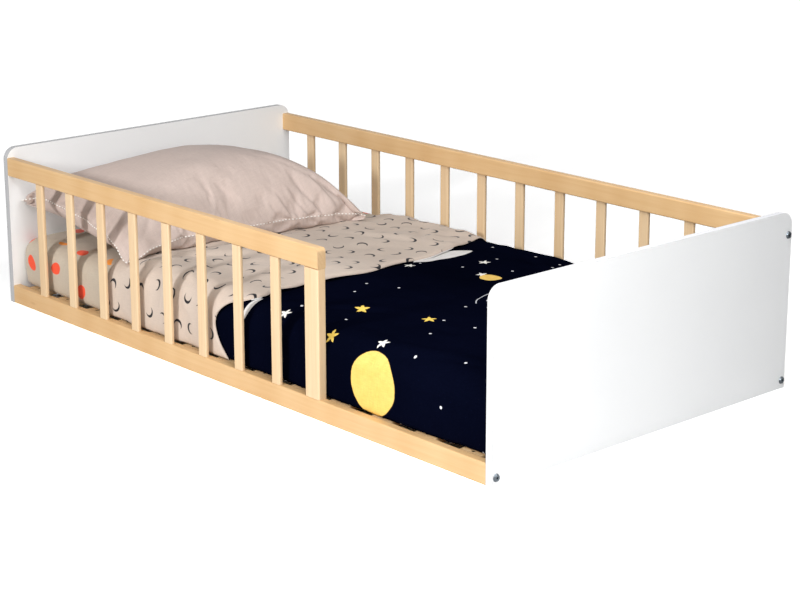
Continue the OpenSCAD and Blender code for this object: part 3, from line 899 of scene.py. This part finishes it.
for where in [
    ((0.10, -0.30), (0.30, -0.16), 0.016, 0.0030),
    ((0.05, 0.05), (0.34, -0.06), 0.022, 0.0028),
    ((0.28, -0.36), (0.62, -0.27), 0.018, 0.0032),
    ((0.10, 0.33), (0.40, 0.16), 0.020, 0.0030),
    ((0.40, 0.34), (0.66, 0.10), 0.022, 0.0034),
    ((0.44, -0.10), (0.68, -0.22), 0.018, 0.0028),
]:
    ripple += fold(x, s, *where) * free
border = np.minimum(np.minimum(x - x[:1], x[-1:] - x), reach - np.abs(s))
half = half * rounded_border(border, 0.007)
ripple = np.clip(ripple, np.where(on_side > 0.5, -0.005, -0.002),
                 np.where(on_side > 0.5, 0.0005, 0.006))
duvet_lower = puffed_cloth("duvet_lower_layer", points + out * ripple[..., None], out, half,
                           (night_cotton, crescent_cotton), np.stack([x, s], axis=-1))
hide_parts("duvet")
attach(duvet_lower, "duvet")

# Turned-down layer: beige face up, from the fold at the head to the hem, and pressed down a
# little where the pillow lies on it.
hem_knots = np.array([-0.46, -0.42, -0.385, -0.352, -0.322, -0.251, -0.227, -0.184, -0.142,
                      -0.101, -0.058, 0.002, 0.037, 0.093, 0.152, 0.208, 0.253, 0.303, 0.46])
hem_places = np.array([0.016, -0.020, -0.029, -0.006, 0.040, 0.038, 0.040, 0.036, 0.040,
                       0.046, 0.055, 0.048, 0.048, 0.049, 0.040, 0.024, 0.009, -0.011, -0.020])
side_reach, edge_radius = 0.3508, 0.042
s_half = reach_of_hem(side_reach, bed_top + 0.75 * doubled, edge_radius)
rows, columns = 96, 176
s = s_half * (2 * crowd(columns, 0.25) - 1)[None, :]
head_x = head_edge_at(s) + 0.004 * soft_noise(s, 0 * s, 0.12, 21)
hem_x = curve(s, hem_knots, hem_places)
x = head_x + (hem_x - head_x) * crowd(rows, 0.45)[:, None]
s = s + 0 * x
from_head = x - head_x
nose = 1 - smooth_step(from_head, 0.010, 0.050)
thin_rear = thinner_at(s)
whole = doubled - thin_rear
upper = doubled * (1 - lower_share) - 0.5 * thin_rear
on_side = side_share(s)
past_pillow = x + 0.295 - 0.10 * s
pressed = (1 - smooth_step(past_pillow, -0.010, 0.050)) * (1 - smooth_step(s, 0.22, 0.29))
half_top = upper / 2 + (whole / 2 - upper / 2) * nose - 0.003 * pressed
half_side = 0.0033 + 0.0028 * nose
half = half_top * (1 - on_side) + half_side * on_side
top_z = bed_top + whole - 0.006 * pressed - half_top
side_y = side_reach - 0.0028 * nose
reach = reach_of_hem(side_y, top_z, edge_radius)
s = s * reach / s_half
points, out = over_the_edge(x, s, side_y, top_z, edge_radius)
ripple = (0.0034 * soft_noise(x, 0.30 * s, 0.10, 22) * on_side
          + 0.0020 * soft_noise(x, s, 0.16, 23) * (1 - on_side)
          + 0.0008 * soft_noise(x, s, 0.05, 24))
for where in [
    ((-0.08, -0.40), (-0.22, -0.22), 0.017, 0.0060),
    ((-0.30, -0.42), (-0.26, -0.26), 0.015, 0.0050),
    ((-0.20, -0.43), (-0.17, -0.30), 0.014, 0.0045),
    ((0.00, -0.30), (-0.12, -0.10), 0.020, 0.0030),
    ((-0.34, -0.30), (-0.20, -0.12), 0.018, 0.0040),
    ((-0.25, 0.10), (-0.02, 0.20), 0.022, 0.0030),
    ((-0.16, 0.33), (0.00, 0.16), 0.020, 0.0030),
]:
    ripple += fold(x, s, *where)
ripple = np.clip(ripple, -0.004, np.where(on_side > 0.5, 0.0004, 0.007))
border = np.minimum(np.minimum(from_head, hem_x - x), reach - np.abs(s))
half = half * rounded_border(border, 0.010)
middle = points + out * ripple[..., None]
duvet_top = middle + out * half[..., None]
duvet_turned = puffed_cloth("duvet_turned_layer", middle, out, half,
                            (crescent_cotton, night_cotton), np.stack([x, s], axis=-1))
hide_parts("duvet")
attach(duvet_turned, "duvet")

# Pillow. A loose filling in a beige cotton case of two panels, sewn together all round and
# edged with a row of white picot stitches; its foot edge lies on the fold of the duvet.
pillow_low, pillow_high = (np.array(corner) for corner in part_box("pillow"))
pillow_middle = (pillow_low + pillow_high)[:2] / 2
pillow_half, pillow_slant = (0.1966, 0.289), 0.072
pillow_crown, pillow_under = 0.120, 0.062
pillow_seam, pillow_slope = 0.197, 0.15
foot_arch, side_arch = 0.018, 0.0205
flap_reach, ear_reach = 0.20, 0.37
pillow_folds = [
    ((0.202, -0.100), (0.140, -0.052), 0.007, 0.0034),
    ((0.206, -0.030), (0.178, -0.036), 0.004, 0.0012),
    ((0.206, 0.008), (0.176, 0.000), 0.004, 0.0012),
    ((0.206, 0.044), (0.168, 0.030), 0.005, 0.0016),
    ((0.206, 0.082), (0.168, 0.068), 0.005, 0.0014),
    ((0.206, 0.118), (0.150, 0.088), 0.006, 0.0020),
    ((0.206, 0.158), (0.140, 0.120), 0.006, 0.0022),
    ((0.206, 0.196), (0.140, 0.150), 0.007, 0.0022),
    ((0.205, 0.245), (0.130, 0.195), 0.008, 0.0020),
    ((0.190, -0.300), (0.130, -0.215), 0.009, 0.0028),
    ((0.160, -0.322), (0.110, -0.255), 0.008, 0.0024),
    ((0.050, -0.324), (0.070, -0.270), 0.009, 0.0018),
    ((-0.080, -0.324), (-0.050, -0.250), 0.010, 0.0020),
    ((-0.190, -0.290), (-0.110, -0.235), 0.011, 0.0022),
]


def sewn(rows, columns):
    """Two grids of points sewn together along their border: the index of every point of the
    upper and the lower grid, which share the border, and the faces."""
    upper = np.arange(rows * columns).reshape(rows, columns)
    lower = upper.copy()
    inner = (rows - 2) * (columns - 2)
    lower[1:-1, 1:-1] = rows * columns + np.arange(inner).reshape(rows - 2, columns - 2)

    def faces_of(index):
        return np.stack([index[:-1, :-1], index[1:, :-1], index[1:, 1:], index[:-1, 1:]],
                        axis=-1).reshape(-1, 4)

    return upper, lower, np.concatenate([faces_of(upper), faces_of(lower)[:, ::-1]])


def empty_case(upper, lower, length, width):
    """Points of the case before it is filled: two flat panels a few millimetres apart with
    rounded corners and small lumps, from which the creases start."""
    rows, columns = upper.shape
    u, v = np.meshgrid(np.linspace(-1, 1, rows), np.linspace(-1, 1, columns), indexing="ij")
    apart = 0.004 * (1 - u ** 4) * (1 - v ** 4)
    rounding = np.maximum(abs(u), abs(v)) / np.maximum((u ** 16 + v ** 16) ** (1 / 16), 1e-9)
    x, y = u * rounding * length / 2, v * rounding * width / 2
    apart = apart + 0.0012 * soft_noise(x, y, 0.05, 31) * (apart > 0)
    points = np.zeros((lower.max() + 1, 3))
    points[lower] = np.stack([x, y, -apart], axis=-1)
    points[upper] = np.stack([x, y, apart], axis=-1)
    return points


def blown_up(points, faces, pressure, last_frame):
    """Points of a closed cloth after it was filled with air at the given pressure."""
    mesh = bpy.data.meshes.new("sewn_case")
    mesh.from_pydata(points.tolist(), [], faces.tolist())
    case = bpy.data.objects.new("sewn_case", mesh)
    bpy.context.scene.collection.objects.link(case)
    cloth = case.modifiers.new("filling", "CLOTH")
    cloth.settings.quality = 6
    cloth.settings.mass = 0.15
    cloth.settings.tension_stiffness = 18
    cloth.settings.compression_stiffness = 18
    cloth.settings.shear_stiffness = 6
    cloth.settings.bending_stiffness = 0.05
    cloth.settings.air_damping = 4
    cloth.settings.use_pressure = True
    cloth.settings.uniform_pressure_force = pressure
    cloth.settings.effector_weights.gravity = 0
    cloth.point_cache.frame_end = last_frame
    scene = bpy.context.scene
    for number in range(1, last_frame + 1):
        scene.frame_set(number)
    shown = case.evaluated_get(bpy.context.evaluated_depsgraph_get())
    result = np.empty(len(points) * 3)
    shown.data.vertices.foreach_get("co", result)
    scene.frame_set(1)
    bpy.data.objects.remove(case)
    bpy.data.meshes.remove(mesh)
    return result.reshape(-1, 3)


def smoothed(values, rounds):
    """Grid of values with small lumps taken out: each round moves every inner value to the
    mean of its neighbours."""
    for _ in range(rounds):
        mean = (values[:-2, 1:-1] + values[2:, 1:-1] + values[1:-1, :-2] + values[1:-1, 2:]) / 4
        values[1:-1, 1:-1] = (values[1:-1, 1:-1] + mean) / 2
    return values


def refined(grid):
    """Grid with one more point between each two, on the cubic through its four neighbours."""
    for axis in (0, 1):
        line = np.moveaxis(grid, axis, 0)
        more = np.empty((2 * len(line) - 1, *line.shape[1:]))
        more[::2] = line
        more[1::2] = (line[:-1] + line[1:]) / 2
        more[3:-3:2] = (9 * (line[1:-2] + line[2:-1]) - line[:-3] - line[3:]) / 16
        grid = np.moveaxis(more, 0, axis)
    return grid


flat_length, flat_width = 0.42, 0.66
air_pressure, filling_frames = 4.0, 34
upper, lower, flat_faces = sewn(61, 99)
flat_points = empty_case(upper, lower, flat_length, flat_width)
blown = blown_up(flat_points, flat_faces, air_pressure, filling_frames)
for axis in (0, 1):
    blown[:, axis] -= (blown[:, axis].max() + blown[:, axis].min()) / 2
    blown[:, axis] /= blown[:, axis].max()
plan = refined((blown[upper] + blown[lower]) / 2)[..., :2]
swell = refined(smoothed((blown[upper] - blown[lower])[..., 2], rounds=12))
swell = np.clip(swell / swell.max(), 0, 1)
rows, columns = swell.shape
upper, lower, case_faces = sewn(rows, columns)


def outward_of(points):
    """Directions square to a grid of points."""
    across = np.cross(np.gradient(points, axis=0), np.gradient(points, axis=1))
    return across / np.maximum(np.linalg.norm(across, axis=-1, keepdims=True), 1e-9)


def drawn_out(away, reach):
    """1 at a corner of the pillow, falling to 0 at the distance reach from it, rounded both
    there and at the corner."""
    return 1 - smooth_step(away, 0.15 * reach, reach)


# The case is puckered along its seams and has a few longer folds. Its front corners stick
# out empty: the one at the head as a small ear, the one at the foot hangs over the bed's edge.
panel_u, panel_v = np.meshgrid(np.linspace(-flat_length / 2, flat_length / 2, rows),
                               np.linspace(-flat_width / 2, flat_width / 2, columns),
                               indexing="ij")
from_foot, from_side = flat_length / 2 - abs(panel_u), flat_width / 2 - abs(panel_v)
puckers = 0
for inside, along, seed in ((from_foot, panel_v, 41), (from_side, panel_u, 42)):
    fade = np.exp(-inside / 0.020) * (1 - np.exp(-inside / 0.005))
    patchy = np.clip(0.6 + 0.5 * soft_noise(along, 0 * along, 0.11, seed + 20), 0.1, 1.2)
    puckers = puckers + 0.0020 * patchy * fade * soft_noise(along, 0.1 * inside, 0.020, seed)
folds = sum(fold(panel_u, panel_v, *where) for where in pillow_folds)
u, v = plan[..., 0], plan[..., 1]
flap = drawn_out(np.hypot(1 - u, 1 + v), flap_reach)
ear = drawn_out(np.hypot(1 + u, 1 + v), ear_reach)
seam_x = pillow_middle[0] + pillow_half[0] * u + pillow_slant / 2 * v + 0.003 * flap - 0.007 * ear
seam_y = pillow_middle[1] + pillow_half[1] * v - 0.004 * flap - 0.022 * ear
seam_z = (pillow_seam - pillow_slope * pillow_half[0] * u - 0.013 * flap - 0.013 * ear
          + foot_arch * (1 - v ** 4) * np.clip(u, 0, 1) ** 2
          + side_arch * (1 - u ** 4) * np.clip(-v, 0, 1) ** 2)
above = pillow_crown * (1 + 0.17 * u + 0.072 * v - 0.03 * u * v) * swell ** 1.5
above = above * (1 - 0.35 * ear)
below = pillow_under * swell ** 0.7 * (1 - 0.75 * ear)
case = np.zeros((lower.max() + 1, 3))
for index, side, high in ((lower, -1, below), (upper, 1, above)):
    panel = np.stack([seam_x, seam_y, seam_z + side * high], axis=-1)
    lift = (puckers * (1 - 0.8 * ear) + folds * (side > 0)) * (np.minimum(from_foot, from_side) > 0)
    case[index] = panel + side * lift[..., None] * outward_of(panel)

# It rests on the sheet and, at its foot edge, on the fold of the duvet. The heights of both
# are gathered in square cells and read off between the middles of the cells.
rest_gap, soft_touch = 0.0006, 0.002
cell, map_low = 0.003, np.array([-0.75, -0.38])
duvet_points = refined(refined(duvet_top)).reshape(-1, 3)
duvet_points = duvet_points[duvet_points[:, 0] < -0.15]
cell_x, cell_y = np.rint((duvet_points[:, :2] - map_low) / cell).astype(int).T
map_x = map_low[0] + cell * np.arange(210)[:, None]
map_y = map_low[1] + cell * np.arange(254)[None, :]
off_edge = np.clip((abs(map_y) - mattress_half[1] + top_edge) / top_edge, 0, 1)
heights = bed_top - top_edge * (1 - np.sqrt(1 - off_edge ** 2)) + 0 * map_x
np.maximum.at(heights, (cell_x, cell_y), duvet_points[:, 2])
place = (case[:, :2] - map_low) / cell
first = np.floor(place).astype(int)
part_x, part_y = (place - first).T
i, j = first.T
rest = ((heights[i, j] * (1 - part_x) + heights[i + 1, j] * part_x) * (1 - part_y)
        + (heights[i, j + 1] * (1 - part_x) + heights[i + 1, j + 1] * part_x) * part_y)
rest += rest_gap
case[:, 2] = rest + soft_touch * np.logaddexp(0, (case[:, 2] - rest) / soft_touch)
cloth = np.zeros((len(case), 2))
cloth[lower.ravel()] = np.stack([panel_u, panel_v + 1.0], -1).reshape(-1, 2)
cloth[upper.ravel()] = np.stack([panel_u, panel_v], -1).reshape(-1, 2)
seam_index = np.concatenate([upper[0, :-1], upper[:-1, -1], upper[-1, :0:-1], upper[:0:-1, 0]])


def pillow_material():
    """Plain warm beige cotton, a little rumpled."""
    made, shade, shader = material("pillow_cotton")
    where = shade.place("Object")
    colour = shade.blend(shade.noise(where, 5.0), srgb(195, 177, 169), srgb(203, 186, 177))
    finish_cotton(shade, shader, colour, where, 0.10, creases=1.1)
    return made


def stitch_material():
    """Thick white mercerised cotton thread."""
    made, shade, shader = material("white_thread")
    shade.feed(shader, {"Base Color": srgb(240, 236, 230), "Roughness": 0.6, "Sheen Weight": 0.2})
    return made


def bead(sides, rings):
    """Small round knot of half size 1, its poles along X: points and faces."""
    turn = np.linspace(0, 2 * math.pi, sides, endpoint=False)[None, :]
    rise = np.linspace(0, math.pi, rings)[:, None]
    points = np.stack([np.cos(rise) + 0 * turn, np.sin(rise) * np.cos(turn),
                       np.sin(rise) * np.sin(turn)], axis=-1)
    return points.reshape(-1, 3), grid_faces(rings, sides, closed=True)


def row_of_knots(name, loop, pitch, size, finish):
    """Knots of thread every pitch along a closed loop of points, each a little longer along
    the loop than across it."""
    closed = np.vstack([loop, loop[:1]])
    run = np.concatenate([[0], np.cumsum(np.linalg.norm(np.diff(closed, axis=0), axis=1))])
    count = int(round(run[-1] / pitch))
    at = np.linspace(0, run[-1], count, endpoint=False)
    places = np.stack([np.interp(at, run, closed[:, axis]) for axis in range(3)], axis=-1)
    ahead = np.roll(places, -1, axis=0) - np.roll(places, 1, axis=0)
    ahead /= np.linalg.norm(ahead, axis=1, keepdims=True)
    side = np.cross(ahead, (0, 0, 1))
    side /= np.linalg.norm(side, axis=1, keepdims=True)
    frames = np.stack([ahead * size[0], side * size[1], np.cross(side, ahead) * size[1]], axis=1)
    shape, faces = bead(sides=6, rings=5)
    points = places[:, None, :] + np.einsum("pk,nkj->npj", shape, frames)
    faces = faces[None] + (np.arange(count) * len(shape))[:, None, None]
    made = skin(name, points, faces.reshape(-1, 4), finish)
    weld(made)
    return made


seam_loop = case[seam_index]
pillow_case = skin("pillow_case", case, case_faces, pillow_material())
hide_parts("pillow")
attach(pillow_case, "pillow")

knot_pitch, knot_size = 0.008, (0.0024, 0.0015)
pillow_edging = row_of_knots("pillow_edging", seam_loop, knot_pitch, knot_size,
                             stitch_material())
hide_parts("pillow")
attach(pillow_edging, "pillow")
